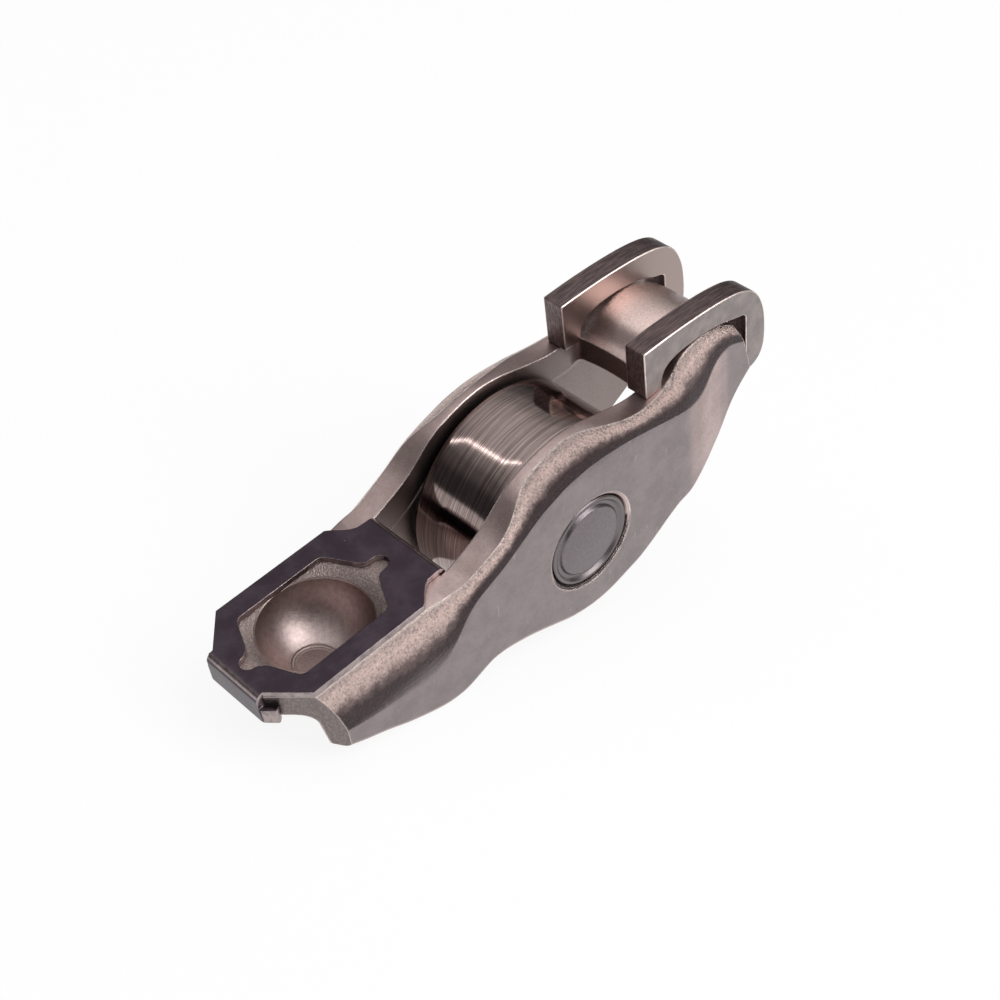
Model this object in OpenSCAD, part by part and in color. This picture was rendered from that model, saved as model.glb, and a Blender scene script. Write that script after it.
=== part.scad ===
// Roller finger follower, also called a rocker arm: a pressed steel lever with
// a ball socket at one end, a needle-bearing roller in the middle and a convex
// pad for the valve stem at the other end.
// Units are millimetres. Sizes are given in the lever's own axes: X runs from
// the socket to the valve pad, Z points out of the socket, and the origin is
// the centre of the socket's ball seat. The whole part is then pitched to the
// pose in which it lies on a flat floor, on its roller and its two walls.

/* [Lever] */
// Half distance over the outside of the two walls
wall_half = 7.07; // [6.6:0.01:7.6]
// Half distance over the walls at the valve end
valve_half = 6.0; // [5.6:0.05:6.6]
// Sheet thickness of the walls round the roller
wall_thick = 2.8; // [2.4:0.05:3.2]
// Sheet thickness of the walls at the socket end
toe_thick = 1.45; // [1.3:0.05:1.8]
// How far the inside of the walls leans outwards at the socket end
toe_flare = 0.35; // [0.1:0.05:0.5]
// Sheet thickness of the web at the socket and at the pad
web_thick = 2.1; // [1.8:0.05:2.6]
// Inner bend radius between web and walls
bend_in = 1.2; // [0.6:0.1:2]
// End of the tongue beyond the socket
tongue_x = -7.22; // [-7.8:0.02:-6.9]
// Start of the walls at the socket end, where the corner cuts meet their outside
toe_x = -3.5; // [-4:0.05:-3]
// End of the lever at the valve
heel_x = 42.5; // [41.5:0.1:43.5]
// Height of the flat land round the socket
land_z = 1.0; // [0.8:0.05:1.2]
// Rise of the pad's middle over its sides, at the window
pad_crown = 0.5; // [0.3:0.05:0.7]

/* [Socket] */
// Radius of the ball seat
seat_r = 4.54; // [4.3:0.02:4.7]
// Height of the ball seat's centre
seat_z = 0.6; // [0.4:0.05:0.8]
// Height of the ball seat's rim
rim_z = 0.35; // [0.2:0.05:0.6]
// Lean of the relief's axis towards the toe, in degrees
relief_lean = 9.5; // [0:0.5:12]
// Radius of the flat relief at the bottom of the seat
relief_r = 1.93; // [1.6:0.01:2.3]
// Depth of the relief below the seat
relief_deep = 0.3; // [0.1:0.05:0.5]
// Radius of the slope round the seat, at the land
lead_r = 5.3; // [5:0.05:5.5]
// Metal under the seat
seat_wall = 1.65; // [1.3:0.05:2]

/* [Roller window] */
// Edge of the window next to the socket
window_x0 = 9.1; // [8.8:0.05:9.4]
// Edge of the window next to the pad
window_x1 = 32.4; // [32:0.1:32.8]
// Side clearance between roller and walls
roller_side_gap = 0.4; // [0.2:0.05:0.6]
// Corner radius of the window at the pad
window_corner = 0.8; // [0.5:0.1:1.5]
// Corner radius of the window at the clip's lip
lip_corner = 0.1; // [0.05:0.01:0.12]

/* [Roller bearing] */
// Distance from the socket to the axle along the lever
roller_x = 22.0; // [21.5:0.1:22.5]
// Height of the axle
roller_z = -3.82; // [-4.2:0.02:-3.4]
// Outer radius of the roller
roller_r = 9.18; // [8.9:0.02:9.4]
// Width of the roller
roller_w = 7.5; // [7:0.1:7.8]
// Edge rounding of the roller
roller_edge = 0.35; // [0.2:0.05:0.5]
// Radius of the axle pin
axle_r = 3.85; // [3.6:0.05:4]
// Radius of each needle
needle_r = 0.8; // [0.75:0.01:0.85]
// Length of each needle
needle_len = 7.1; // [6.6:0.1:7.3]
// Radial running clearance between needle and race
needle_gap = 0.02; // [0.01:0.01:0.03]
// Distance of the axle's ends inside the wall faces
axle_inset = 0.12; // [0:0.02:0.3]
// Radial clearance of the staked axle in its holes
axle_fit = 0.02; // [0.01:0.01:0.04]
// Outer radius of the countersink round the axle
sink_r = 4.45; // [4.3:0.05:4.6]
// Depth of the countersink
sink_deep = 0.75; // [0.4:0.05:1]
// Radius of the flat middle of the axle's ends
stake_r = 3.07; // [2.8:0.01:3.2]
// Depth of the staking groove
stake_deep = 0.3; // [0.1:0.05:0.5]

/* [Valve guides] */
// Distance between the two guides, for the valve stem
guide_gap = 6.8; // [6.4:0.05:7.2]
// Clearance between the guides' front feet and the strip that they stand on
foot_gap = 0.02; // [0.01:0.01:0.05]
// Thickness of each guide
guide_thick = 2.1; // [1.8:0.05:2.4]
// Front of the guides
guide_x0 = 30.6; // [30.2:0.1:31]
// Height of the guides' front corner
guide_top = 9.05; // [8.7:0.05:9.4]
// Height of the guides' bar over the pad
guide_bar = 2.35; // [2:0.05:2.7]
// Width of the rear leg
guide_leg = 2.4; // [2:0.05:2.7]

/* [Retaining clip] */
// Thickness of the clip's spring steel
clip_thick = 0.5; // [0.4:0.05:0.6]
// Half width of the clip
clip_half = 5.75; // [5.5:0.05:5.9]
// Half width of the clip's socket window
clip_win_half = 3.95; // [3.7:0.05:4.1]
// Outer bend radius of the clip
clip_bend = 0.7; // [0.6:0.05:1]
// Depth of the end flange below the clip's top
clip_flange = 2.75; // [2.5:0.05:2.9]
// Depth of the lip that reaches into the roller window
clip_lip = 2.0; // [1.4:0.1:2.4]
// Length of the tabs that hook round the tongue
clip_tab = 1.3; // [1:0.1:1.8]
// Clearance between the clip and the lever
clip_gap = 0.03; // [0.01:0.01:0.06]
// Clearance between the clip's bends and the ends that they go round
clip_end_gap = 0.14; // [0.12:0.01:0.25]

/* [Hidden] */
needle_count = 18;
pitch_r = axle_r + needle_gap + needle_r;
race_r = pitch_r + needle_r + needle_gap;
window_half = roller_w / 2 + roller_side_gap;
guide_y = guide_gap / 2;
steel = [0.50, 0.44, 0.42];
bright = [0.42, 0.39, 0.37];
black = [0.12, 0.11, 0.13];
cut = 60;

// Side profiles of the lever, as pairs of drawn X and height or half width. The
// drawn X stretches with the lever: these pairs of real and drawn X tie it to
// the toe, the window, the roller and the valve end.
marks = [[tongue_x - 40, -47.22], [tongue_x, -7.22], [window_x0, 9.1], [roller_x, 22], [window_x1, 32.4], [heel_x, 42.5], [heel_x + 40, 82.5]];
function drawn(x) = lookup(x, marks);
function placed(u) = lookup(u, [for (m = marks) [m[1], m[0]]]);
// Height of the lever's top edge
top_z = [[-8, land_z], [9.7, land_z], [10.4, land_z + 0.3], [11, land_z + 0.55], [12, 1.95], [13, 2.4], [14, 3.0],
         [15, 3.8], [16, 4.6], [17, 5.15], [18, 5.5], [20, 6.0], [22, 6.2], [24, 5.9], [26, 5.3], [28, 4.7],
         [29.5, 4.4], [31, 4.35], [32.4, 4.4], [33.1, 4.5], [34.2, 5.5], [35.2, 6.05], [36.2, 6.33], [37.6, 6.35],
         [39, 6.05], [40.3, 5.4], [41.2, 4.8], [42, 4.15], [44, 2.6]];
// Half width of the flat strip on the lever's top edge
strip_y = [[-8, clip_half], [6, clip_half], [8, 6.1], [10, 6.15], [12, 6.3], [14, 6.35], [15, 6.2], [16, 5.75],
           [17, 5.3], [18, 5.05], [20, 4.92], [22, 4.9], [24, 5.2], [25, 5.5], [27, 5.95], [29, 6.05], [31, 5.9],
           [33, 5.5], [35, 5.4], [38, 5.3], [40, 5.05], [44, 4.9]];
// Height at which the rounded shoulder meets the flat wall
wall_z = [[-5, -2.6], [-1.5, -3.6], [1.4, -4.1], [4.7, -4.7], [6.4, -4.2], [7.7, -3.0], [8.6, -1.5], [9.8, -0.4],
          [11.4, 0.2], [13, 0.8], [14.7, 1.75], [17, 3.05], [20, 4.0], [22.5, 4.2], [24, 4.1], [26.6, 3.75],
          [28.8, 3.25], [31.5, 2.55], [33.8, 2.05], [35.3, 1.85], [36.3, 2.4], [37.3, 3.4], [38.3, 3.95], [39.5, 4.15],
          [41, 3.6], [42, 3.0], [44, 1.6]];
// Half width over the outside of the walls
wall_y = [[-5, wall_half], [33.5, wall_half], [36, (wall_half * 2 + valve_half) / 3], [38, (wall_half + valve_half * 3) / 4],
          [40, valve_half], [44, valve_half]];
// Lower edge of the walls
low_z = [[-5, -4.3], [-4, -4.8], [-2, -5.8], [0, -6.65], [1.8, -7.6], [3.7, -8.4], [5.2, -8.95], [6.5, -9.2], [7.8, -9.2],
         [9, -8.8], [10.7, -8.25], [12.3, -8.4], [14.5, -9.0], [16.6, -9.8], [19.2, -10.9], [21.1, -11.3],
         [22.5, -11.4], [24.1, -11.25], [25.6, -10.85], [27.2, -10.5], [28.7, -9.8], [30.5, -8.8], [32.3, -7.85],
         [34, -7.6], [35.5, -6.7], [37, -5.7], [38.3, -4.8], [39.8, -2.9], [41, -1.6], [42.5, -0.4], [44, 0.6]];
// Sheet thickness of the walls
sheet_t = [[-5, toe_thick], [-2, toe_thick + 0.15], [3, toe_thick + 0.65], [9, wall_thick], [34, wall_thick], [38, 2.3], [44, 2.3]];
// Rise of the pad's middle over its sides, and the half width on which it rises
crown_z = [[-8, 0], [31, 0], [32.4, pad_crown], [33.2, 1.15 * pad_crown], [34.2, 0.6 * pad_crown], [35.2, 0.2 * pad_crown], [36.2, 0], [44, 0]];
crown_y = 4.2;

// A profile's value at x, averaged over a short stretch so that its corners are round
function soft(x, t) = let (u = drawn(x))
    (lookup(u - 0.8, t) + 2 * lookup(u - 0.4, t) + 3 * lookup(u, t) + 2 * lookup(u + 0.4, t) + lookup(u + 0.8, t)) / 9;

stations = concat([tongue_x], [for (u = [-6.2, -5.2, -4.2, -3, -1.5, 0, 1.5, 3, 4.5, 6]) placed(u)],
                  [for (u = [7 : 0.75 : 19]) placed(u)], [for (u = [20 : 1 : 32]) placed(u)],
                  [for (u = [32.75 : 0.75 : 41.75]) placed(u)], [heel_x]);

// Lean of the walls' inside, from its bend to its lower edge
flare_y = [[-8, toe_flare], [-1, 0.6 * toe_flare], [6, 0], [44, 0]];
// The shoulder is a part of an ellipse between two angles, which leave a crease
// along the strip and another one along the wall; at the toe it is drawn straighter
crease = [[-8, 52], [1, 46], [8, 28], [44, 28]];
wall_crease = 76;
shoulder_steps = 5;

// Plan of the toe's corner cuts; the clip has the same ones
chamfer_y = 2.85;
chamfer_run = (toe_x - tongue_x) / (wall_half - chamfer_y);
// Half of the lever's section at x, from the middle of its top round to the middle of its underside
function half_section(x) =
    let (zt = soft(x, top_z), ys = soft(x, strip_y), yw = soft(x, wall_y), zs = soft(x, wall_z), zl = soft(x, low_z),
         t = soft(x, sheet_t), c = soft(x, crown_z), yi = yw - t, zi = zt - web_thick, f = soft(x, flare_y), w0 = soft(x, crease))
    concat([for (k = [0, 0.35, 0.7, 1]) [k * crown_y, zt + c * (1 - k * k)]], [[ys, zt]],
           [for (i = [1 : shoulder_steps]) let (w = w0 + (wall_crease - w0) * i / shoulder_steps)
               [ys + (yw - ys) * (sin(w) - sin(w0)) / (sin(wall_crease) - sin(w0)),
                zs + (zt - zs) * (cos(w) - cos(wall_crease)) / (cos(w0) - cos(wall_crease))]],
           [[yw, zl + 0.35], [yw - 0.35, zl], [yi + f + 0.2, zl], [yi + f, zl + 0.2], [yi, zi - bend_in], [yi - 0.3 * bend_in, zi - 0.3 * bend_in],
            [yi - bend_in, zi], [0, zi + 0.7 * c]]);

half_points = len(half_section(0));
ring_points = 2 * half_points - 2;
function ring(x) = let (h = half_section(x))
    concat([for (p = h) [x, p[0], p[1]]], [for (i = [half_points - 2 : -1 : 1]) [x, -h[i][0], h[i][1]]]);

// Triangles that close half of a section; the other half has them mirrored
half_cap = [[0, 1, 17], [1, 2, 17], [2, 16, 17], [2, 3, 16], [3, 4, 16], [4, 5, 16], [5, 15, 16], [5, 6, 15],
            [6, 14, 15], [6, 7, 14], [7, 8, 14], [8, 9, 14], [9, 10, 14], [10, 13, 14], [10, 11, 13], [11, 12, 13]];
full_cap = concat(half_cap, [for (t = half_cap) [for (i = [2, 1, 0]) (ring_points - t[i]) % ring_points]]);

// The bent sheet, before anything is cut in it
module sheet_blank() {
    rings = len(stations);
    polyhedron(
        points = [for (x = stations) each ring(x)],
        faces = concat(
            [for (t = full_cap) [for (i = [2, 1, 0]) t[i]]],
            [for (i = [0 : rings - 2]) for (j = [0 : ring_points - 1]) let (k = (j + 1) % ring_points)
                [i * ring_points + j, (i + 1) * ring_points + k, (i + 1) * ring_points + j]],
            [for (i = [0 : rings - 2]) for (j = [0 : ring_points - 1]) let (k = (j + 1) % ring_points)
                [i * ring_points + j, i * ring_points + k, (i + 1) * ring_points + k]],
            [for (t = full_cap) [for (i = [0 : 2]) (rings - 1) * ring_points + t[i]]]),
        convexity = 8);
}

// A vertical opening through the web, with round corners of radius r0 at x0 and r1 at x1
module round_window(x0, x1, h, r0, r1) {
    for (s = [-1, 1]) {
        translate([x0 + r0, s * (h - r0), -cut]) cylinder(h = 2 * cut, r = r0, $fn = 40);
        translate([x1 - r1, s * (h - r1), -cut]) cylinder(h = 2 * cut, r = r1, $fn = 40);
    }
    translate([x0 + r0, -h, -cut]) cube([x1 - x0 - r0 - r1, 2 * h, 2 * cut]);
    translate([x0, -h + r0, -cut]) cube([(x1 - x0) / 2, 2 * (h - r0), 2 * cut]);
    translate([(x0 + x1) / 2, -h + r1, -cut]) cube([(x1 - x0) / 2, 2 * (h - r1), 2 * cut]);
}

// Distance from the seat's centre to the relief's edge, the seat's radius at its rim, and the slope round it
relief_level = sqrt(seat_r * seat_r - relief_r * relief_r);
rim_r = sqrt(seat_r * seat_r - (seat_z - rim_z) * (seat_z - rim_z));
rim_slope = (lead_r - rim_r) / (land_z - rim_z);

module across_axle() translate([roller_x, 0, roller_z]) rotate([90, 0, 0]) children();

// The toe's corners are cut off through tongue, bend and wall
module toe_corner() translate([0, 0, -cut / 2]) linear_extrude(height = cut)
    polygon([[tongue_x - 2, chamfer_y - 2 / chamfer_run], [tongue_x + (2 * wall_half - chamfer_y) * chamfer_run, 2 * wall_half],
             [tongue_x - 2, 2 * wall_half]]);

module lever_body() color(steel) lying() difference() {
    union() {
        sheet_blank();
        // the pressed bulge under the ball seat
        intersection() {
            translate([0, 0, seat_z]) sphere(r = seat_r + seat_wall, $fn = 72);
            translate([-6.4, -5.6, seat_z - seat_r - seat_wall - 1]) cube([12.8, 11.2, seat_r + seat_wall + 0.9]);
        }
    }
    toe_corner();
    scale([1, -1, 1]) toe_corner();
    // ball seat with a flat relief in its bottom, and the slope from the land down to its rim
    translate([0, 0, seat_z]) rotate([0, relief_lean, 0]) {
        intersection() {
            sphere(r = seat_r, $fn = 72);
            translate([-10, -10, -relief_level]) cube([20, 20, 20]);
        }
        translate([0, 0, -relief_level - relief_deep]) cylinder(h = 2, r = relief_r, $fn = 48);
    }
    translate([0, 0, rim_z - 0.3]) cylinder(h = land_z - rim_z + 0.4, r1 = rim_r - 0.3 * rim_slope, r2 = lead_r + 0.1 * rim_slope, $fn = 72);
    round_window(window_x0, window_x1, window_half, lip_corner, window_corner);
    // axle holes with their countersinks
    across_axle() cylinder(h = 2 * cut, r = axle_r + axle_fit, center = true, $fn = 72);
    for (s = [-1, 1]) across_axle() scale([1, 1, s]) translate([0, 0, wall_half - sink_deep])
        cylinder(h = sink_deep + 0.001, r1 = axle_r + axle_fit, r2 = sink_r, $fn = 72);
}

// Side outline of a valve guide: a bar over the pad, a short front leg and a long rear leg
guide_outline = [
    [guide_x0, guide_top], [placed(33.5), guide_top], [placed(36.5), guide_top - 0.15], [placed(39.5), guide_top - 0.45],
    [placed(41.8), guide_top - 0.95], [heel_x + guide_leg - 1.7, guide_top - 1.65], [heel_x + guide_leg - 0.8, guide_top - 2.7],
    [heel_x + guide_leg - 0.15, 4.6], [heel_x + guide_leg, 2.6],
    [heel_x + guide_leg - 0.1, 0.8], [heel_x + guide_leg - 0.6, -0.3], [heel_x + guide_leg - 1.5, -0.85], [heel_x, -0.9],
    [heel_x, 5.25], [placed(42.3), 5.6], [placed(41.2), guide_top - guide_bar - 0.85], [placed(39.3), guide_top - guide_bar - 0.35],
    [placed(37), guide_top - guide_bar - 0.05], [placed(34.9), guide_top - guide_bar], [placed(33.7), guide_top - guide_bar - 0.2], [window_x1 + 0.55, 6.15],
    [window_x1 + 0.15, 5.6], [window_x1 - 0.02, 4.9], [window_x1 - 0.02, soft(window_x1, top_z) + foot_gap], [guide_x0, soft(window_x1, top_z) + foot_gap]];

// The feet are seated on the lever, the front one on its strip and the rear one on its end
module guide(side) translate([0, side > 0 ? guide_y + guide_thick : -guide_y, 0]) rotate([90, 0, 0])
    linear_extrude(height = guide_thick) polygon(guide_outline);
module guide_near() color(steel) lying() guide(-1);
module guide_far() color(steel) lying() guide(1);

module axle() color(bright) lying() across_axle() {
    half = wall_half - axle_inset;
    difference() {
        cylinder(h = 2 * half, r = axle_r, center = true, $fn = 72);
        // the staking groove in both ends
        for (s = [-1, 1]) scale([1, 1, s]) rotate_extrude($fn = 72)
            polygon([[stake_r, half + 0.01], [axle_r - 0.15, half + 0.01], [axle_r - 0.3, half - stake_deep], [stake_r + 0.12, half - stake_deep]]);
    }
}

module roller() color(bright) lying() across_axle() rotate_extrude($fn = 96)
    polygon([[race_r + 0.2, -roller_w / 2], [roller_r - roller_edge, -roller_w / 2], [roller_r - 0.1, -roller_w / 2 + 0.12],
             [roller_r, -roller_w / 2 + roller_edge], [roller_r, roller_w / 2 - roller_edge], [roller_r - 0.1, roller_w / 2 - 0.12],
             [roller_r - roller_edge, roller_w / 2], [race_r + 0.2, roller_w / 2], [race_r, roller_w / 2 - 0.2], [race_r, -roller_w / 2 + 0.2]]);

module needle(i) color(bright) lying() across_axle() rotate([0, 0, i * 360 / needle_count])
    translate([pitch_r, 0, 0]) cylinder(h = needle_len, r = needle_r, center = true, $fn = 24);
module needle_01() needle(0);
module needle_02() needle(1);
module needle_03() needle(2);
module needle_04() needle(3);
module needle_05() needle(4);
module needle_06() needle(5);
module needle_07() needle(6);
module needle_08() needle(7);
module needle_09() needle(8);
module needle_10() needle(9);
module needle_11() needle(10);
module needle_12() needle(11);
module needle_13() needle(12);
module needle_14() needle(13);
module needle_15() needle(14);
module needle_16() needle(15);
module needle_17() needle(16);
module needle_18() needle(17);

// The clip: its plate lies on the land, the flange and its tabs hold the tongue,
// and a lip at the other end reaches into the roller window
clip_z = land_z + clip_gap;
flange_x = tongue_x - clip_end_gap - clip_thick;
lip_x = window_x0 + clip_end_gap + clip_thick;
lip_half = window_half - 0.15;
// Half width of the plate where the flange's bend starts, flush with the tongue's chamfer
plate_end = round(100 * (chamfer_y + (flange_x + clip_bend - tongue_x) / chamfer_run)) / 100;
// The corner of the flange and its tab, at a distance from the tongue
function flange_corner(away) = [tongue_x - away, round(100 * (chamfer_y + away * (norm([chamfer_run, 1]) - 1) / chamfer_run)) / 100];
module clip_plan() {
    c = (clip_half - chamfer_y) * chamfer_run;
    difference() {
        polygon([[flange_x + clip_bend, -plate_end], [flange_x + clip_bend, plate_end],
                 [tongue_x + c, clip_half], [6.0, clip_half], [7.3, 4.5], [8.0, lip_half], [lip_x - clip_bend, lip_half],
                 [lip_x - clip_bend, -lip_half], [8.0, -lip_half], [7.3, -4.5], [6.0, -clip_half], [tongue_x + c, -clip_half]]);
        // the window over the socket, with a round-tipped notch at each end
        polygon([[-5.35, -1.2], [-5.35, 1.2], [-4.3, clip_win_half - 0.35], [-3.8, clip_win_half], [3.75, clip_win_half], [4.35, clip_win_half - 0.5],
                 [5.45, 1.35], [5.45, -1.35], [4.35, -clip_win_half + 0.5], [3.75, -clip_win_half], [-3.8, -clip_win_half], [-4.3, -clip_win_half + 0.35]]);
        polygon([[-5.0, -1.2], [-5.35, -1.2], [-6.1, -0.68], [-6.1, 0.68], [-5.35, 1.2], [-5.0, 1.2],
                 [5.0, 1.35], [5.45, 1.35], [6.0, 0.78], [6.7, 0.74], [6.7, -0.74], [6.0, -0.78], [5.45, -1.35], [5.0, -1.35]]);
        translate([-6.1, 0]) circle(r = 0.7, $fn = 32);
        translate([6.7, 0]) circle(r = 0.75, $fn = 32);
    }
}
// A quarter bend about Y, from the plate's end downwards
module clip_quarter(x, side, half) translate([x, 0, clip_z + clip_thick - clip_bend]) rotate([90, 0, 0]) intersection() {
    difference() {
        cylinder(h = 2 * half, r = clip_bend, center = true, $fn = 48);
        cylinder(h = 4 * half, r = clip_bend - clip_thick, center = true, $fn = 48);
    }
    translate([side > 0 ? 0 : -2, 0, -half - 1]) cube([2, 2, 2 * half + 2]);
}
module retaining_clip() color(black) lying() {
    tab_top = clip_z + clip_thick - 1.35;
    flange_low = clip_z + clip_thick - clip_flange;
    run = [chamfer_run, 1] / norm([chamfer_run, 1]);
    in = [run[1], -run[0]];
    outer = flange_corner(clip_end_gap + clip_thick);
    inner = flange_corner(clip_end_gap);
    translate([0, 0, clip_z]) linear_extrude(height = clip_thick) clip_plan();
    clip_quarter(flange_x + clip_bend, -1, plate_end);
    side = [outer, outer + clip_tab * run, outer + clip_tab * run + clip_thick * in, inner];
    translate([flange_x, -plate_end, tab_top]) cube([clip_thick, 2 * plate_end, clip_z + clip_thick - clip_bend - tab_top]);
    translate([0, 0, flange_low]) linear_extrude(height = tab_top - flange_low)
        polygon(concat(side, [for (i = [3 : -1 : 0]) [side[i][0], -side[i][1]]]));
    clip_quarter(lip_x - clip_bend, 1, lip_half);
    translate([lip_x - clip_thick, -lip_half, clip_z + clip_thick - clip_lip]) cube([clip_thick, 2 * lip_half, clip_lip - clip_bend]);
}

// The pose in which the part lies on the floor: turned about Y until the lowest
// wall point in front of the roller is level with the roller's lowest point
rest_pitch = min([for (x = [placed(2) : 0.25 : placed(12)]) let (dx = roller_x - x, dz = roller_z - soft(x, low_z))
    asin(roller_r / norm([dx, dz])) - atan2(dz, dx)]);
// Where a point of the side view comes to lie along the floor, and over it
function lying_x(q) = q[0] * cos(rest_pitch) - q[1] * sin(rest_pitch);
function lying_z(q) = q[0] * sin(rest_pitch) + q[1] * cos(rest_pitch);
// The origin is on the floor, half way between the clip's flange and the guides' rear legs
lying_shift = [-(lying_x([flange_x + clip_bend, clip_z + clip_thick - clip_bend]) - clip_bend + max([for (q = guide_outline) lying_x(q)])) / 2,
               0, roller_r - lying_z([roller_x, roller_z])];
module lying() translate(lying_shift) rotate([0, -rest_pitch, 0]) children();

lever_body();
guide_near();
guide_far();
axle();
roller();
needle_01();
needle_02();
needle_03();
needle_04();
needle_05();
needle_06();
needle_07();
needle_08();
needle_09();
needle_10();
needle_11();
needle_12();
needle_13();
needle_14();
needle_15();
needle_16();
needle_17();
needle_18();
retaining_clip();
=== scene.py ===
"""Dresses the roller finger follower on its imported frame.

Fine meshes with procedural steels replace the plain solids, and a floor, lamps and a camera are added.
"""
import math

import bmesh
import bpy
import numpy as np
from mathutils import Matrix, Vector


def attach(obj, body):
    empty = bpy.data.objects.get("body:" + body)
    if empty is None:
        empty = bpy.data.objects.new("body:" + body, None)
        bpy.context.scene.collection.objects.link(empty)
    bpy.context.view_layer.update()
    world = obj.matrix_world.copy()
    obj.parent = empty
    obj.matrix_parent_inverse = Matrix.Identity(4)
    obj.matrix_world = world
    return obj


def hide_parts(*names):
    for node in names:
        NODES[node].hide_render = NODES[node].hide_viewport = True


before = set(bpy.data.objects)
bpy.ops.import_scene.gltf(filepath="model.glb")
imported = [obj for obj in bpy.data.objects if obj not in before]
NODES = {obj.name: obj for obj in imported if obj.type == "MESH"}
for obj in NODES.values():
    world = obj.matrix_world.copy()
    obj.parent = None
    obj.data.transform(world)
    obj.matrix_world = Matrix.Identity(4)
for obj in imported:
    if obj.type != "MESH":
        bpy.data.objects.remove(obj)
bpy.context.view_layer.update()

# The lever's own axes are in millimetres: x towards the valve end, z out of the ball seat, origin on the
# seat's axis.
# The frame has the part as it lies: pitched about Y, on the floor.
PITCH = math.radians(14.6437)
SHIFT = (-17.6526, 7.31416)
MM = 0.001
TO_FRAME = (Matrix.Translation((SHIFT[0] * MM, 0, SHIFT[1] * MM))
            @ Matrix.Rotation(-PITCH, 4, "Y") @ Matrix.Scale(MM, 4))

# Lever body: half width over the walls, window from x to x and its half width, web, lower edge, inner bend
WALL = 7.07
WINDOW = (9.1, 32.4, 4.15)
WEB = 2.1
EDGE_R = 0.5
BEND_R = 1.2
HEEL = 42.5
TOE_END, CHAMFER_Y, CHAMFER_RUN = -7.22, 2.85, 3.72 / 4.22
# Ball seat with the flat relief in its bottom, and the sheet of the bulge under it
SEAT_R, SEAT_Z, RIM_Z, SEAT_WALL = 4.54, 0.6, 0.35, 1.65
RELIEF_R, RELIEF_LEAN, RELIEF_DEEP = 1.93, 9.5, 0.22
RIM_SLOPE = [(0, 0), (0.24, 0.19), (0.48, 0.37), (0.68, 0.5), (0.85, 0.59), (1.03, 0.645), (1.1, 0.6515)]
# Axle and roller
AXLE = (22.0, 0, -3.82)
AXLE_R, AXLE_HOLE_R = 3.85, 3.87
ROLLER_R, ROLLER_HALF = 9.18, 3.75
# Inner faces and thickness of the guides
GUIDE_Y, GUIDE_T = 3.4, 2.1
# Retaining clip: a bent sheet with rounded sheared edges
CLIP_T, CLIP_HALF, CLIP_Z, CLIP_BEND = 0.5, 5.75, 1.03, 0.7
CLIP_TOP = CLIP_Z + CLIP_T
FLANGE_X, FLANGE_HALF = -7.86, 2.92
LIP_X, LIP_HALF = 9.74, 4.0
# How far a cutter reaches past the part, how near points are one, and the averaging of the tables
THROUGH = 30
MERGE = 1e-5
SMOOTH_REACH, SMOOTH_TAPS, SMOOTH_PEAK = 0.8, 9, 1.2

# The pressed section along x: top, crease of the shoulder, where the flat wall begins, lower edge and sheet
TOP_Z = [(-8, 1.0), (9.7, 1.0), (10.4, 1.3), (11, 1.55), (12, 1.95), (13, 2.4), (14, 3.0), (15, 3.8),
         (16, 4.6), (17, 5.15), (18, 5.5), (20, 6.0), (22, 6.2), (24, 5.9), (26, 5.3), (28, 4.7),
         (29.5, 4.4), (31, 4.35), (32.4, 4.4), (33.1, 4.5), (34.2, 5.7), (35.2, 6.17), (36.2, 6.35),
         (37.6, 6.35), (39, 6.05), (40.3, 5.4), (41.2, 4.8), (42, 4.15), (44, 2.6)]
STRIP_Y = [(-8, 5.75), (6, 5.75), (8, 6.1), (10, 6.15), (12, 6.3), (14, 6.35), (15, 6.2), (16, 5.75),
           (17, 5.3), (18, 5.05), (20, 4.92), (22, 4.9), (24, 5.2), (25, 5.5), (27, 5.95), (29, 6.05),
           (31, 5.9), (33, 5.5), (35, 5.4), (38, 5.3), (40, 5.05), (44, 4.9)]
WALL_Z = [(-5, -2.6), (-1.5, -3.6), (1.4, -4.1), (4.7, -4.7), (6.4, -4.2), (7.7, -3.0), (8.6, -1.5),
          (9.8, -0.4), (11.4, 0.2), (13, 0.8), (14.7, 1.75), (17, 3.05), (20, 4.0), (22.5, 4.2),
          (24, 4.1), (26.6, 3.75), (28.8, 3.25), (31.5, 2.55), (33.8, 2.05), (35.3, 1.85), (36.3, 2.4),
          (37.3, 3.4), (38.3, 3.95), (39.5, 4.15), (41, 3.6), (42, 3.0), (44, 1.6)]
WALL_Y = [(-5, 7.07), (33.5, 7.07), (36, 6.7133), (38, 6.2675), (40, 6.0), (44, 6.0)]
LOW_Z = [(-5, -4.3), (-4, -4.8), (-2, -5.8), (0, -6.65), (1.8, -7.6), (3.7, -8.4), (5.2, -8.95),
         (6.5, -9.2), (7.8, -9.2), (9, -8.8), (10.7, -8.25), (12.3, -8.4), (14.5, -9.0), (16.6, -9.8),
         (19.2, -10.9), (21.1, -11.3), (22.5, -11.4), (24.1, -11.25), (25.6, -10.85), (27.2, -10.5),
         (28.7, -9.8), (30.5, -8.8), (32.3, -7.85), (34, -7.6), (35.5, -6.7), (37, -5.7), (38.3, -4.8),
         (39.8, -2.9), (41, -1.6), (42.5, -0.4), (44, 0.6)]
SHEET_T = [(-5, 1.45), (-2, 1.6), (3, 2.1), (9, 2.8), (34, 2.8), (38, 2.3), (44, 2.3)]
CROWN_Z = [(-8, 0), (31, 0), (32.4, 0.5), (33.2, 0.575), (34.2, 0.45), (36.2, 0.4), (40, 0.3), (44, 0.1)]
CROWN_Y = 4.2
FLARE_Y = [(-8, 0.35), (-1, 0.21), (6, 0), (44, 0)]
# Slope of the shoulder at its crease and at the wall, in degrees
CREASE = [(-8, 52), (1, 46), (8, 28), (44, 28)]
WALL_CREASE = 76
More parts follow.
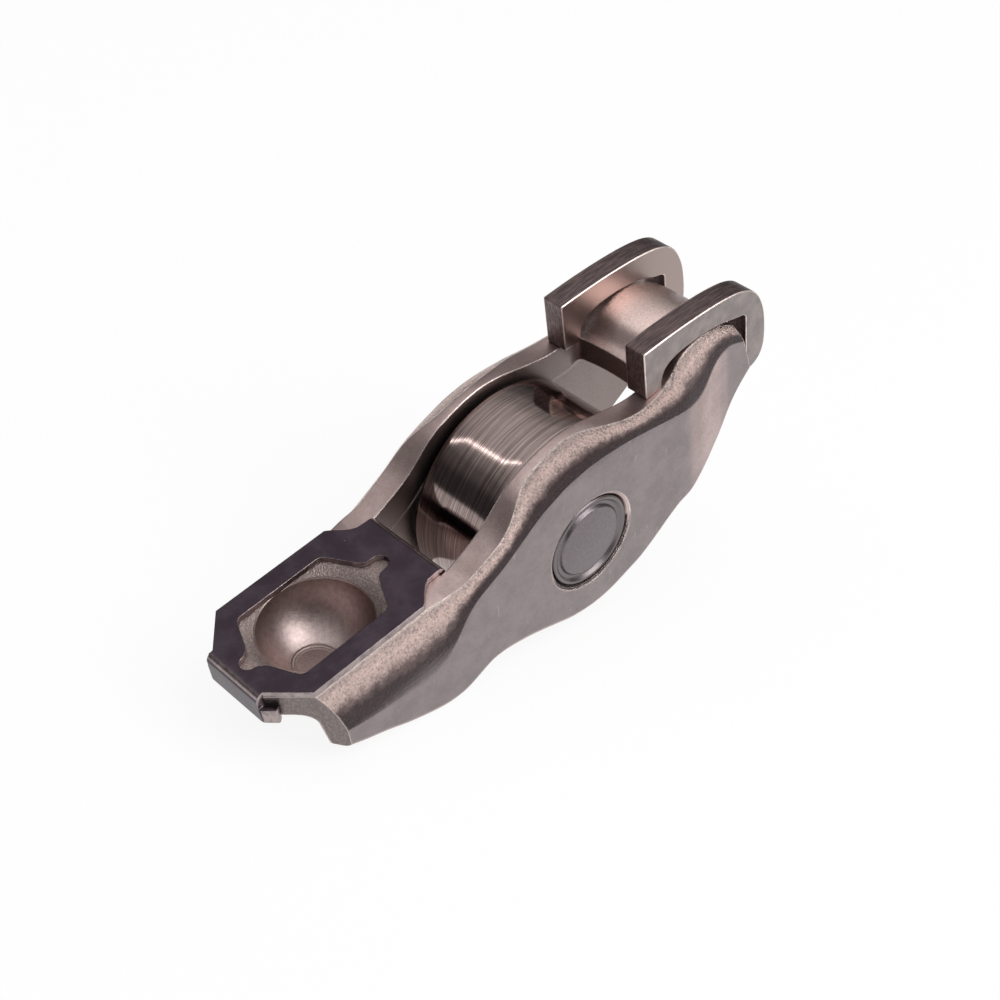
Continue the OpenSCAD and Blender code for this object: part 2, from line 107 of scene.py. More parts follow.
# The loft's stations: from x to x, and how many
STATIONS = [(TOE_END, 6, 34), (6.3, 19, 48), (19.4, 32, 34), (32.4, HEEL, 40)]


def soft(x, table):
    """A table's value at x, averaged over a short stretch so that its corners are round."""
    xs, ys = zip(*table)
    taps = np.linspace(-SMOOTH_REACH, SMOOTH_REACH, SMOOTH_TAPS)
    weights = SMOOTH_PEAK - np.abs(taps)
    return float(np.average(np.interp(x + taps, xs, ys), weights=weights))


# Mesh helpers

def mesh_object(name, verts, faces):
    mesh = bpy.data.meshes.new(name)
    mesh.from_pydata([tuple(v) for v in verts], [], faces)
    mesh.validate()
    work = bmesh.new()
    work.from_mesh(mesh)
    bmesh.ops.remove_doubles(work, verts=work.verts, dist=MERGE)
    bmesh.ops.recalc_face_normals(work, faces=work.faces)
    work.to_mesh(mesh)
    work.free()
    obj = bpy.data.objects.new(name, mesh)
    bpy.context.scene.collection.objects.link(obj)
    return obj


def apply_modifiers(obj):
    deps = bpy.context.evaluated_depsgraph_get()
    mesh = bpy.data.meshes.new_from_object(obj.evaluated_get(deps))
    obj.modifiers.clear()
    obj.data = mesh


def shade_smooth(mesh, angle):
    """Smooth shading with sharp edges where the faces turn by more than the angle, in degrees."""
    for poly in mesh.polygons:
        poly.use_smooth = True
    mesh.set_sharp_from_angle(angle=math.radians(angle))


def finish_piece(obj, body, replaces, material, angle=50, level=False):
    """Moves a piece from the lever's axes to the frame's; level keeps the shading of big faces flat."""
    obj.data.transform(TO_FRAME)
    obj.data.update()
    shade_smooth(obj.data, angle)
    if level:
        weigh = obj.modifiers.new("weigh", "WEIGHTED_NORMAL")
        weigh.weight = 100
        weigh.keep_sharp = True
        apply_modifiers(obj)
    obj.data.materials.clear()
    obj.data.materials.append(material)
    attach(obj, body)
    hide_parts(*replaces)


def boolean(obj, cutter, operation):
    mod = obj.modifiers.new("cut", "BOOLEAN")
    mod.operation = operation
    mod.solver = "EXACT"
    mod.object = cutter
    apply_modifiers(obj)
    bpy.data.objects.remove(cutter)


def soften(obj, width, segments):
    """Rounds the sheared edges."""
    bevel = obj.modifiers.new("bevel", "BEVEL")
    bevel.width = width
    bevel.segments = segments
    bevel.limit_method = "ANGLE"
    bevel.angle_limit = math.radians(50)
    apply_modifiers(obj)


def prism(name, outline, low, high, axis="Z"):
    """A closed prism: outline in the other two axes (X, Y for Z; X, Z for Y)."""
    n = len(outline)
    if axis == "Z":
        verts = [(x, y, level) for level in (low, high) for x, y in outline]
    else:
        verts = [(x, level, z) for level in (low, high) for x, z in outline]
    faces = [list(range(n))[::-1], list(range(n, 2 * n))]
    faces += [[i, (i + 1) % n, n + (i + 1) % n, n + i] for i in range(n)]
    return mesh_object(name, verts, faces)


def revolve(name, profile, centre, axis, segments=96, closed=True):
    """Turns (radius, height) points round an axis: "Z" or "Y", through centre."""
    verts, faces = [], []
    n = len(profile)
    for s in range(segments):
        a = 2 * math.pi * s / segments
        for radius, height in profile:
            u, v = radius * math.cos(a), radius * math.sin(a)
            if axis == "Z":
                verts.append((centre[0] + u, centre[1] + v, centre[2] + height))
            else:
                verts.append((centre[0] + u, centre[1] + height, centre[2] + v))
    for s in range(segments):
        t = (s + 1) % segments
        for i in range(n if closed else n - 1):
            j = (i + 1) % n
            if profile[i][0] == 0 and profile[j][0] == 0:
                continue
            faces.append([s * n + i, s * n + j, t * n + j, t * n + i])
    return mesh_object(name, verts, faces)


def arc(cx, cy, radius, start, end, steps):
    """Points on an arc, with its angles in degrees."""
    angles = [math.radians(start + (end - start) * i / steps) for i in range(steps + 1)]
    return [(cx + radius * math.cos(a), cy + radius * math.sin(a)) for a in angles]


# Lever body: a dense loft of the pressed section, then its openings

def half_section(x):
    """Half of the section at x, from the middle of its top round to the middle of its underside."""
    top_z, crease_y, wall_y, wall_z = soft(x, TOP_Z), soft(x, STRIP_Y), soft(x, WALL_Y), soft(x, WALL_Z)
    low_z, crown = soft(x, LOW_Z), soft(x, CROWN_Z)
    inner_y, inner_z, flare = wall_y - soft(x, SHEET_T), top_z - WEB, soft(x, FLARE_Y)
    start, end = math.radians(soft(x, CREASE)), math.radians(WALL_CREASE)
    top = [(CROWN_Y * f, top_z + crown * (1 - f * f)) for f in np.linspace(0, 1, 8)]
    top += [(crease_y - 0.04, top_z), (crease_y, top_z - 0.01)]
    shoulder = []
    for slope in np.linspace(start, end, 15)[1:]:
        across = (math.sin(slope) - math.sin(start)) / (math.sin(end) - math.sin(start))
        upward = (math.cos(slope) - math.cos(end)) / (math.cos(start) - math.cos(end))
        shoulder.append((crease_y + (wall_y - crease_y) * across, wall_z + (top_z - wall_z) * upward))
    foot_z = low_z + EDGE_R
    wall = [(wall_y, wall_z + (foot_z - wall_z) * f) for f in (0.05, 0.25, 0.45, 0.65, 0.85, 0.97, 1.0)]
    foot = [(wall_y - EDGE_R + EDGE_R * math.cos(a), foot_z - EDGE_R * math.sin(a))
            for a in np.linspace(0.4, math.pi / 2, 4)]
    foot_y = inner_y + flare
    foot += [(foot_y + 0.2, low_z), (foot_y + 0.05, low_z + 0.05), (foot_y, low_z + 0.2)]
    under = [(inner_y - BEND_R + BEND_R * math.cos(a), inner_z - BEND_R + BEND_R * math.sin(a))
             for a in np.linspace(0, math.pi / 2, 6)]
    under += [((inner_y - BEND_R) * f, inner_z + 0.7 * crown * (1 - f * f)) for f in (0.66, 0.33, 0)]
    return top + shoulder + wall + foot + under


def lever_mesh():
    rings = []
    for start, end, count in STATIONS:
        for x in np.linspace(start, end, count):
            half = half_section(x)
            rings.append([(x, y, z) for y, z in half] + [(x, -y, z) for y, z in half[-2:0:-1]])
    n = len(rings[0])
    verts = [v for ring in rings for v in ring]
    faces = []
    for i in range(len(rings) - 1):
        for j in range(n):
            k = (j + 1) % n
            faces.append([i * n + j, (i + 1) * n + j, (i + 1) * n + k, i * n + k])
    faces.append(list(range(n)))
    faces.append([(len(rings) - 1) * n + j for j in range(n)][::-1])
    return mesh_object("lever_shell", verts, faces)


def press_bulge(lever):
    """The bulge under the seat, blended into the web."""
    radius = SEAT_R + SEAT_WALL
    profile = [(0, SEAT_Z - radius)]
    profile += [(math.sqrt(max(radius ** 2 - z * z, 0)), SEAT_Z + z)
                for z in np.linspace(-radius + 0.05, -2.0, 18)]
    profile += [(5.96, -1.25), (6.0, -1.0), (6.0, -0.6), (0, -0.6)]
    boolean(lever, revolve("bulge", profile, (0, 0, 0), "Z", 72), "UNION")


def shear_corners(lever):
    """The toe's corners, sheared off through tongue, bend and wall."""
    beyond, reach = 2, 11.15
    for side in (-1, 1):
        corner = [(TOE_END - beyond, side * (CHAMFER_Y - beyond / CHAMFER_RUN)),
                  (TOE_END + reach * CHAMFER_RUN, side * (CHAMFER_Y + reach)),
                  (TOE_END - beyond, side * (CHAMFER_Y + reach))]
        boolean(lever, prism("corner", corner[::side], -THROUGH, THROUGH), "DIFFERENCE")


def press_seat(lever):
    """The ball seat with the flat relief in its bottom, and the slope down to its rim."""
    level = math.sqrt(SEAT_R ** 2 - RELIEF_R ** 2)
    floor_z = -level - RELIEF_DEEP
    seat = [(0, floor_z), (RELIEF_R - 0.1, floor_z), (RELIEF_R, -level - 0.1), (RELIEF_R, -level)]
    seat += [(math.sqrt(SEAT_R ** 2 - z * z), z) for z in np.linspace(-level + 0.1, SEAT_R - 0.1, 40)]
    seat += [(0, SEAT_R)]
    ball = revolve("seat", seat, (0, 0, 0), "Z")
    lean = Matrix.Rotation(math.radians(RELIEF_LEAN), 4, "Y")
    ball.data.transform(Matrix.Translation((0, 0, SEAT_Z)) @ lean)
    boolean(lever, ball, "DIFFERENCE")
    rim = math.sqrt(SEAT_R ** 2 - (SEAT_Z - RIM_Z) ** 2)
    slope = [(0, RIM_Z - 0.2), (rim - 0.25, RIM_Z - 0.2)]
    slope += [(rim + out, RIM_Z + up) for out, up in RIM_SLOPE]
    slope += [(rim + RIM_SLOPE[-1][0], 3), (0, 3)]
    boolean(lever, revolve("slope", slope, (0, 0, 0), "Z"), "DIFFERENCE")


def punch_window(lever):
    """The roller's window, with tight corners at the clip's lip and wide ones at the pad."""
    x0, x1, half = WINDOW
    tight, wide = 0.1, 0.8
    outline = arc(x0 + tight, -half + tight, tight, 180, 270, 3)
    outline += arc(x1 - wide, -half + wide, wide, 270, 360, 7)
    outline += arc(x1 - wide, half - wide, wide, 0, 90, 7)
    outline += arc(x0 + tight, half - tight, tight, 90, 180, 3)
    boolean(lever, prism("window", outline, -THROUGH, THROUGH), "DIFFERENCE")


def drill_axle_holes(lever):
    """The axle's holes, countersunk for its staked ends."""
    hole = [(0, 2.0), (AXLE_HOLE_R, 2.0), (AXLE_HOLE_R, WALL - 0.72), (4.3, WALL - 0.12), (4.46, WALL - 0.08),
            (4.5, WALL + 0.02), (4.5, WALL + 2), (0, WALL + 2)]
    for side in (-1, 1):
        profile = [(radius, side * y) for radius, y in hole]
        boolean(lever, revolve("hole", profile, AXLE, "Y"), "DIFFERENCE")


def shear_heel(lever):
    """The sheared end leans away from the guides' rear legs."""
    heel = [(40.75, 7.5), (HEEL, -0.5), (HEEL + 1, -0.5), (HEEL + 1, 7.5)]
    boolean(lever, prism("heel", heel, -9, 9, "Y"), "DIFFERENCE")


def build_lever(material):
    lever = lever_mesh()
    press_bulge(lever)
    shear_corners(lever)
    press_seat(lever)
    punch_window(lever)
    drill_axle_holes(lever)
    shear_heel(lever)
    lever.name = "lever_shell"
    finish_piece(lever, "lever", ("lever_body",), material, angle=28, level=True)


# Guides: the outline in x and z, from the front foot over the top, down the rear leg and back under the arch

GUIDE = [(30.6, 9.05), (33.5, 9.05), (36.5, 8.9), (39.5, 8.6), (41.8, 8.1), (43.2, 7.4), (44.1, 6.35),
         (44.75, 4.6), (44.9, 2.6), (44.8, 0.8), (44.3, -0.3), (43.4, -0.85), (42.5, -0.9), (42.5, 5.25),
         (42.3, 5.6), (41.2, 5.85), (39.3, 6.35), (37, 6.65), (34.9, 6.7), (33.7, 6.5), (32.95, 6.15),
         (32.55, 5.6), (32.38, 4.9), (32.38, 4.41), (30.6, 4.41)]
GUIDE_SHARP = {0, 12, 13, 23, 24}
# Lower points at the arch's rear corner, so that no light shows past the heel
ARCH_NEAR = {13: 5.0, 14: 5.35, 15: 5.65}
ARCH_FAR = {13: 4.6, 14: 4.95, 15: 5.3, 16: 6.2}


def rounded(points, keep, steps=5, reach=0.45):
    """Rounds an outline's corners with a quadratic arc; points whose index is in keep stay sharp."""
    out = []
    n = len(points)
    for i, p in enumerate(points):
        p = np.array(p)
        if i in keep:
            out.append(tuple(p))
            continue
        before, after = np.array(points[i - 1]), np.array(points[(i + 1) % n])
        start = p + (before - p) * reach
        end = p + (after - p) * reach
        for q in np.linspace(0, 1, steps):
            out.append(tuple((1 - q) ** 2 * start + 2 * q * (1 - q) * p + q * q * end))
    return out


def build_guide(name, side, node, arch, material):
    outline = rounded([(x, arch.get(i, z)) for i, (x, z) in enumerate(GUIDE)], GUIDE_SHARP)
    low, high = sorted((side * GUIDE_Y, side * (GUIDE_Y + GUIDE_T)))
    guide = prism(name, outline, low, high, "Y")
    soften(guide, 0.13, 3)
    finish_piece(guide, "lever", (node,), material, level=True)


# Retaining clip

def clip_outline():
    """The plate's plan between its two bends, with the corner cuts at both ends."""
    half = [(FLANGE_X + CLIP_BEND, FLANGE_HALF),
            (TOE_END + (CLIP_HALF - CHAMFER_Y) * CHAMFER_RUN, CLIP_HALF), (6.0, CLIP_HALF),
            (6.25, 5.55), (7.1, 4.65), (7.5, 4.3), (8.0, 4.05), (LIP_X - CLIP_BEND, LIP_HALF)]
    return [(x, -y) for x, y in half] + half[::-1]


def clip_hole():
    """The window over the seat, with a round slot at each end."""
    half = [(-6.1, 0.7), (-5.85, 0.8), (-5.5, 1.08), (-5.25, 1.45), (-4.4, 3.4), (-4.2, 3.75), (-3.8, 3.93),
            (3.7, 3.95), (4.1, 3.82), (4.35, 3.5), (5.3, 1.75), (5.5, 1.35), (5.75, 1.0), (6.1, 0.8),
            (6.7, 0.75)]
    turns = np.linspace(0.2, math.pi / 2, 8)
    toe_slot, roller_slot = 0.7, 0.75
    toe_end = [(half[0][0] - toe_slot * math.sin(a), toe_slot * math.cos(a)) for a in turns]
    roller_end = [(half[-1][0] + roller_slot * math.sin(a), roller_slot * math.cos(a)) for a in turns]
    upper = toe_end[::-1] + half + roller_end
    lower = [(x, -y) for x, y in upper[::-1] if abs(y) > 1e-6]
    return upper + lower


def clip_bend(end, sign, half, low):
    """A quarter turn of the sheet at one end of the plate, and the flange that hangs from it down to low."""
    start = end - sign * CLIP_BEND
    inside = CLIP_BEND - CLIP_T
    turns = np.linspace(0, math.pi / 2, 9)

    def curve(radius, angles):
        return [(start + sign * radius * math.sin(a), CLIP_TOP - CLIP_BEND + radius * math.cos(a))
                for a in angles]

    shape = [(start - sign * 0.01, CLIP_TOP)] + curve(CLIP_BEND, turns)
    shape += [(start + sign * CLIP_BEND, low), (start + sign * inside, low)]
    shape += curve(inside, turns[::-1]) + [(start - sign * 0.01, CLIP_Z)]
    return prism("clip_bend", shape, -half, half, "Y")


def clip_flange():
    """The end flange with a hook that turns back along the sheared corner on each side."""
    length = math.hypot(CHAMFER_RUN, 1)
    run, inward = Vector((CHAMFER_RUN / length, 1 / length)), Vector((1 / length, -CHAMFER_RUN / length))
    outer, inner = Vector((FLANGE_X, 3.09)), Vector((TOE_END - 0.14, 2.9))
    tip = outer + 1.3 * run
    half = [outer - Vector((0, 0.25)), outer - Vector((0, 0.08)) + 0.04 * run]
    half += [outer + 0.2 * run, tip - 0.1 * run, tip + 0.1 * inward, tip + 0.5 * inward, inner]
    plan = [tuple(p) for p in half]
    return prism("clip_flange", plan + [(x, -y) for x, y in plan[::-1]], CLIP_TOP - 2.75, CLIP_TOP - 1.35)


def build_clip(material):
    clip = prism("clip_plate", clip_outline(), CLIP_Z, CLIP_TOP)
    boolean(clip, prism("clip_hole", clip_hole(), -2, 4), "DIFFERENCE")
    boolean(clip, clip_bend(FLANGE_X, -1, FLANGE_HALF, CLIP_TOP - 1.36), "UNION")
    boolean(clip, clip_bend(LIP_X, 1, LIP_HALF, CLIP_TOP - 2.0), "UNION")
    boolean(clip, clip_flange(), "UNION")
    soften(clip, 0.035, 2)
    clip.name = "clip_sheet"
    finish_piece(clip, "lever", ("retaining_clip",), material, level=True)


# Bearing: roller, staked axle and needles

def build_roller(material):
    w, r = ROLLER_HALF, ROLLER_R
    half = [(5.49, w - 0.25), (5.56, w - 0.1), (5.72, w), (r - 0.36, w), (r - 0.2, w - 0.035),
            (r - 0.08, w - 0.12), (r - 0.02, w - 0.24), (r, w - 0.4)]
    profile = [(radius, -y) for radius, y in half] + [(r, y) for y in (-2, 0, 2)] + half[::-1]
    roller = revolve("roller_ring", profile, AXLE, "Y", 192)
    finish_piece(roller, "roller", ("roller",), material)


def build_axle(material):
    """The axle's ends: a flat disc, the staking groove and a lip flared into the countersink."""
    h = WALL - 0.12
    end = [(0, h), (2.98, h), (3.07, h - 0.03), (3.13, h - 0.12), (3.18, h - 0.27), (3.26, h - 0.33),
           (3.46, h - 0.33), (3.58, h - 0.27), (3.7, h - 0.08), (3.78, h), (3.88, h + 0.03), (3.98, h - 0.02),
           (4.06, h - 0.12), (4.02, h - 0.3), (3.865, h - 0.6)]
    profile = [(radius, -y) for radius, y in end] + [(AXLE_R, y) for y in (-5, 0, 5)] + end[::-1]
    axle = revolve("axle_pin", profile, AXLE, "Y", 128, closed=False)
    finish_piece(axle, "lever", ("axle",), material)


def dress_needles(material):
    """The needles keep their solids' own shape."""
    for name, node in NODES.items():
        if name.startswith("needle"):
            node.data.materials.clear()
            node.data.materials.append(material)
            shade_smooth(node.data, 40)


# Materials: colours are linear, and scales are in millimetres

# Colour of edges: partly worn bare steel, partly a painted highlight along them.
WORN_AND_HIGHLIT_EDGE = (0.9, 0.77, 0.72)
LEVER_TURN = Matrix.Rotation(PITCH, 3, "Y")
LEVER_MOVE = -(LEVER_TURN @ Vector((SHIFT[0], 0, SHIFT[1])))


def fill_ramp(ramp, stops):
    """Fills a colour ramp with (position, colour) pairs, the first two at its ends."""
    for i, (at, color) in enumerate(stops):
        stop = ramp.elements[i] if i < 2 else ramp.elements.new(at)
        stop.position = at
        stop.color = (*color, 1)


class Nodes:
    """A short way to write a node tree."""

    def __init__(self, name):
        self.mat = bpy.data.materials.new(name)
        self.mat.use_nodes = True
        self.tree = self.mat.node_tree
        self.tree.nodes.clear()
        self.out = self.add("ShaderNodeOutputMaterial")
        coord = self.add("ShaderNodeTexCoord")
        place = self.add("ShaderNodeMapping")
        place.inputs["Scale"].default_value = (1000, 1000, 1000)
        place.inputs["Rotation"].default_value = (0, PITCH, 0)
        place.inputs["Location"].default_value = LEVER_MOVE
        self.link(coord.outputs["Object"], place.inputs["Vector"])
        self.mm = place.outputs[0]

    def add(self, kind, **values):
        node = self.tree.nodes.new(kind)
        for key, value in values.items():
            setattr(node, key, value)
        return node

    def link(self, source, socket):
        self.tree.links.new(source, socket)

    def feed(self, socket, value):
        if isinstance(value, bpy.types.NodeSocket):
            self.link(value, socket)
        else:
            socket.default_value = value

    def math(self, operation, *values):
        node = self.add("ShaderNodeMath", operation=operation)
        for socket, value in zip(node.inputs, values):
            self.feed(socket, value)
        return node.outputs[0]

    def times(self, a, b):
        return self.math("MULTIPLY", a, b)

    def size(self, value):
        return self.math("ABSOLUTE", value)

    def scaled(self, vector, scale):
        node = self.add("ShaderNodeVectorMath", operation="MULTIPLY")
        self.feed(node.inputs[0], vector)
        node.inputs[1].default_value = scale
        return node.outputs[0]

    def noise(self, scale, detail, rough, stretch=None):
        """Noise of so many waves per millimetre; stretch gives each axis its own share."""
        node = self.add("ShaderNodeTexNoise")
        node.inputs["Scale"].default_value = scale
        node.inputs["Detail"].default_value = detail
        node.inputs["Roughness"].default_value = rough
        self.link(self.scaled(self.mm, stretch) if stretch else self.mm, node.inputs["Vector"])
        return node.outputs["Fac"]

    def map_range(self, value, low, high, a, b, **values):
        node = self.add("ShaderNodeMapRange", **values)
        self.feed(node.inputs["Value"], value)
        for key, number in (("From Min", low), ("From Max", high), ("To Min", a), ("To Max", b)):
            node.inputs[key].default_value = number
        return node.outputs[0]

    def ramp(self, value, low, high, a=0.0, b=1.0):
        """A smooth step from a at low to b at high."""
        return self.map_range(value, low, high, a, b, interpolation_type="SMOOTHSTEP")

    def line(self, value, low, high, a, b):
        """A straight line through a at low and b at high."""
        return self.map_range(value, low, high, a, b, clamp=False)

    def mix(self, factor, a, b):
        node = self.add("ShaderNodeMix", data_type="RGBA")
        self.feed(node.inputs["Factor"], factor)
        for socket, value in ((node.inputs[6], a), (node.inputs[7], b)):
            self.feed(socket, (*value, 1.0) if isinstance(value, tuple) else value)
        return node.outputs[2]

    def patchy(self, noise, low, high, a, b):
        """One colour where the noise is low, another where it is high."""
        return self.mix(self.ramp(noise, low, high), a, b)

    def blend(self, factor, a, b):
        node = self.add("ShaderNodeMix", data_type="FLOAT")
        self.feed(node.inputs["Factor"], factor)
        self.feed(node.inputs[2], a)
        self.feed(node.inputs[3], b)
        return node.outputs[0]

    def split(self, vector):
        node = self.add("ShaderNodeSeparateXYZ")
        self.link(vector, node.inputs[0])
        return node.outputs

    def curve(self, value, table, low, high, bottom, top):
        """The value of a table of (position, value) pairs, joined by straight lines."""
        at = self.line(value, low, high, 0.0, 1.0)
        node = self.add("ShaderNodeFloatCurve")
        points = node.mapping.curves[0].points
        pairs = [((x - low) / (high - low), (v - bottom) / (top - bottom))
                 for x, v in table if low <= x <= high]
        points[0].location = (0.0, pairs[0][1])
        points[-1].location = (1.0, pairs[-1][1])
        for x, v in pairs:
            if 0.001 < x < 0.999:
                points.new(x, v)
        for point in points:
            point.handle_type = "VECTOR"
        node.mapping.update()
        self.feed(node.inputs["Value"], at)
        return self.line(node.outputs[0], 0.0, 1.0, bottom, top)

    def colors(self, value, stops):
        node = self.add("ShaderNodeValToRGB")
        fill_ramp(node.color_ramp, stops)
        self.feed(node.inputs[0], value)
        return node.outputs[0]

    def dust(self, per_mm, radius):
        """Sparse round specks."""
        node = self.add("ShaderNodeTexVoronoi")
        node.inputs["Scale"].default_value = per_mm
        self.link(self.scaled(self.mm, (1, 1, 0)), node.inputs["Vector"])
        return self.ramp(node.outputs["Distance"], radius * per_mm, 0.6 * radius * per_mm)

    def away(self, centre, scale=(1, 1, 1)):
        """Distance in millimetres from a point of the lever's own axes; a 0 in scale leaves an axis out."""
        shift = self.add("ShaderNodeVectorMath", operation="SUBTRACT")
        self.link(self.mm, shift.inputs[0])
        shift.inputs[1].default_value = centre
        length = self.add("ShaderNodeVectorMath", operation="LENGTH")
        self.link(self.scaled(shift.outputs[0], scale), length.inputs[0])
        return length.outputs["Value"]

    def lever_normal(self):
        """The surface normal in the lever's own axes."""
        geo = self.add("ShaderNodeNewGeometry")
        turn = self.add("ShaderNodeVectorRotate", rotation_type="Y_AXIS")
        self.link(geo.outputs["Normal"], turn.inputs["Vector"])
        turn.inputs["Angle"].default_value = PITCH
        return turn.outputs[0]

    def facing_side(self):
        """1 where the face itself, without smoothing, looks along Y."""
        geo = self.add("ShaderNodeNewGeometry")
        return self.size(self.split(geo.outputs["True Normal"])[1])

    def edge(self, radius_mm, low, high):
        """1 along convex and concave edges, 0 away from them, with the rounded normal."""
        bevel = self.add("ShaderNodeBevel", samples=6)
        bevel.inputs["Radius"].default_value = radius_mm * MM
        geo = self.add("ShaderNodeNewGeometry")
        dot = self.add("ShaderNodeVectorMath", operation="DOT_PRODUCT")
        self.link(bevel.outputs[0], dot.inputs[0])
        self.link(geo.outputs["Normal"], dot.inputs[1])
        return self.ramp(self.math("SUBTRACT", 1.0, dot.outputs["Value"]), low, high), bevel.outputs[0]

    def bump(self, height, distance_mm, normal):
        node = self.add("ShaderNodeBump")
        node.inputs["Strength"].default_value = 1.0
        node.inputs["Distance"].default_value = distance_mm * MM
        self.link(height, node.inputs["Height"])
        self.link(normal, node.inputs["Normal"])
        return node.outputs[0]

    def metal(self, color, rough, normal=None):
        """Ends the tree as a bare metal, and gives its material."""
        bsdf = self.add("ShaderNodeBsdfPrincipled")
        self.link(bsdf.outputs[0], self.out.inputs[0])
        self.feed(bsdf.inputs["Base Color"], color)
        self.feed(bsdf.inputs["Roughness"], rough)
        bsdf.inputs["Metallic"].default_value = 1.0
        if normal is not None:
            self.link(normal, bsdf.inputs["Normal"])
        return self.mat


def down_the_bend(n, px, pz):
    """0 at the strip's crease, 1 at the flat wall."""
    reach = (-8, 44, -6, 8)
    high, low = n.curve(px, TOP_Z, *reach), n.curve(px, WALL_Z, *reach)
    return n.math("DIVIDE", n.math("SUBTRACT", high, pz), n.math("SUBTRACT", high, low))


def bend_highlight_and_shade(n, down):
    """The pressed bend's colour down from the crease: a painted highlight band near the top and painted shade
    lower down, with painted shade and glints on its grain all over.
    """
    wander = n.times(n.math("SUBTRACT", n.noise(1.6, 4, 0.6), 0.5), 0.35)
    # A painted highlight band just below the crease and painted shade darkening down to the wall.
    color = n.colors(n.math("ADD", down, wander),
                     ((0.0, (0.5, 0.39, 0.365)), (1.0, (0.06, 0.045, 0.047)), (0.2, (0.84, 0.64, 0.59)),
                      (0.36, (0.62, 0.465, 0.43)), (0.5, (0.21, 0.153, 0.148)),
                      (0.64, (0.075, 0.054, 0.055))))
    # A painted highlight along the crease, over a burnished line.
    color = n.mix(n.ramp(down, 0.055, 0.015, 0.0, 0.85), color, (0.9, 0.78, 0.73))
    # Dark pits here paint the shade of the grain, and light specks on the upper bend paint its glints.
    painted_grain_noise = n.noise(5.5, 3, 0.6)
    color = n.mix(n.ramp(painted_grain_noise, 0.5, 0.36, 0.0, 0.42), color, (0.12, 0.09, 0.09))
    painted_glints = n.times(n.ramp(painted_grain_noise, 0.52, 0.64, 0.0, 0.3), n.ramp(down, 0.6, 0.35))
    return n.mix(painted_glints, color, (0.95, 0.77, 0.72))


def lever_material():
    n = Nodes("pressed_steel")
    nx, ny, nz = n.split(n.lever_normal())
    px, py, pz = n.split(n.mm)
    side, out, from_seat = n.size(ny), n.size(py), n.away((0, 0, SEAT_Z))
    speck = n.noise(6.0, 4, 0.7)
    edge, round_normal = n.edge(0.2, 0.015, 0.14)

    # where each kind of surface lies
    wall = n.times(n.ramp(n.facing_side(), 0.985, 0.999), n.ramp(out, WALL - 1.3, WALL - 1.2))
    inner = n.times(n.ramp(side, 0.8, 0.95), n.ramp(out, 4.6, 4.3))
    off_seat = n.ramp(from_seat, SEAT_R + 0.9, SEAT_R + 1.1)
    bend = n.times(n.ramp(side, 0.1, 0.35), n.times(n.ramp(nz, 0.03, 0.12), off_seat))
    seat = n.ramp(from_seat, SEAT_R + 0.12, SEAT_R + 0.03)
    land = n.times(n.ramp(from_seat, 8.6, 7.6), n.times(n.ramp(nz, 0.5, 0.9), n.ramp(seat, 1.0, 0.0)))
    pad = n.times(n.ramp(px, 32.6, 33.4), n.ramp(nz, 0.8, 0.93))
    toe = n.times(n.ramp(nx, -0.4, -0.6), n.ramp(px, 0.0, -0.5))
    lean = math.radians(RELIEF_LEAN)
    over_seat = n.times(n.math("SUBTRACT", pz, SEAT_Z), math.cos(lean))
    height_in_seat = n.math("ADD", n.times(px, math.sin(lean)), over_seat)
    relief = n.times(n.ramp(height_in_seat, -4.15, -4.25), n.ramp(from_seat, 5.2, 5.0))
    scratch = n.times(wall, n.ramp(n.noise(1.0, 1, 0.4, (2.6, 1.0, 0.5)), 0.7, 0.76))

    # their colours, each over the ones before
    base = n.patchy(n.noise(0.35, 4, 0.6), 0.35, 0.68, (0.41, 0.31, 0.295), (0.52, 0.405, 0.385))
    # The bend's colour carries its painted highlight and painted shade, by height down the bend.
    base = n.mix(bend, base, bend_highlight_and_shade(n, down_the_bend(n, px, pz)))
    wall_color = n.patchy(n.noise(0.5, 4, 0.65), 0.3, 0.7, (0.245, 0.207, 0.208), (0.30, 0.255, 0.257))
    base = n.mix(wall, base, wall_color)
    base = n.mix(inner, base, (0.27, 0.22, 0.208))
    base = n.mix(n.times(n.ramp(speck, 0.5, 0.75), n.blend(wall, 0.4, 0.2)), base, (0.13, 0.1, 0.1))
    base = n.mix(land, base, n.patchy(speck, 0.35, 0.6, (0.48, 0.39, 0.368), (0.26, 0.205, 0.198)))
    base = n.mix(pad, base, n.patchy(speck, 0.4, 0.7, (0.8, 0.62, 0.57), (0.6, 0.46, 0.42)))
    seat_color = n.patchy(n.noise(2.5, 4, 0.7), 0.35, 0.75, (0.43, 0.345, 0.33), (0.33, 0.255, 0.245))
    base = n.mix(seat, base, seat_color)
    base = n.mix(relief, base, n.patchy(speck, 0.4, 0.65, (0.31, 0.24, 0.225), (0.23, 0.175, 0.165)))
    toe_color = n.patchy(n.noise(1.0, 4, 0.7, (6, 6, 3)), 0.35, 0.65, (0.25, 0.21, 0.2), (0.17, 0.14, 0.135))
    base = n.mix(toe, base, toe_color)
    base = n.mix(scratch, base, (0.34, 0.295, 0.293))
    # Edges lightened partly by wear, partly by a painted highlight.
    base = n.mix(n.times(edge, n.ramp(n.noise(1.2, 3, 0.6), 0.3, 0.55, 0.5, 1.0)), base, WORN_AND_HIGHLIT_EDGE)

    rough = n.blend(n.ramp(speck, 0.3, 0.7), 0.28, 0.4)
    rough = n.blend(n.math("MAXIMUM", seat, pad), rough, 0.32)
    rough = n.blend(edge, rough, 0.22)
    peel = n.times(n.noise(3.0, 2, 0.5), n.blend(bend, 0.03, 1.0))
    grain = n.times(n.noise(8.0, 3, 0.65), n.blend(bend, n.blend(land, 0.06, 0.3), 0.6))
    normal = n.bump(n.math("ADD", peel, grain), 0.28, round_normal)
    normal = n.bump(n.noise(16.0, 3, 0.7), 0.005, normal)
    return n.metal(base, rough, normal)


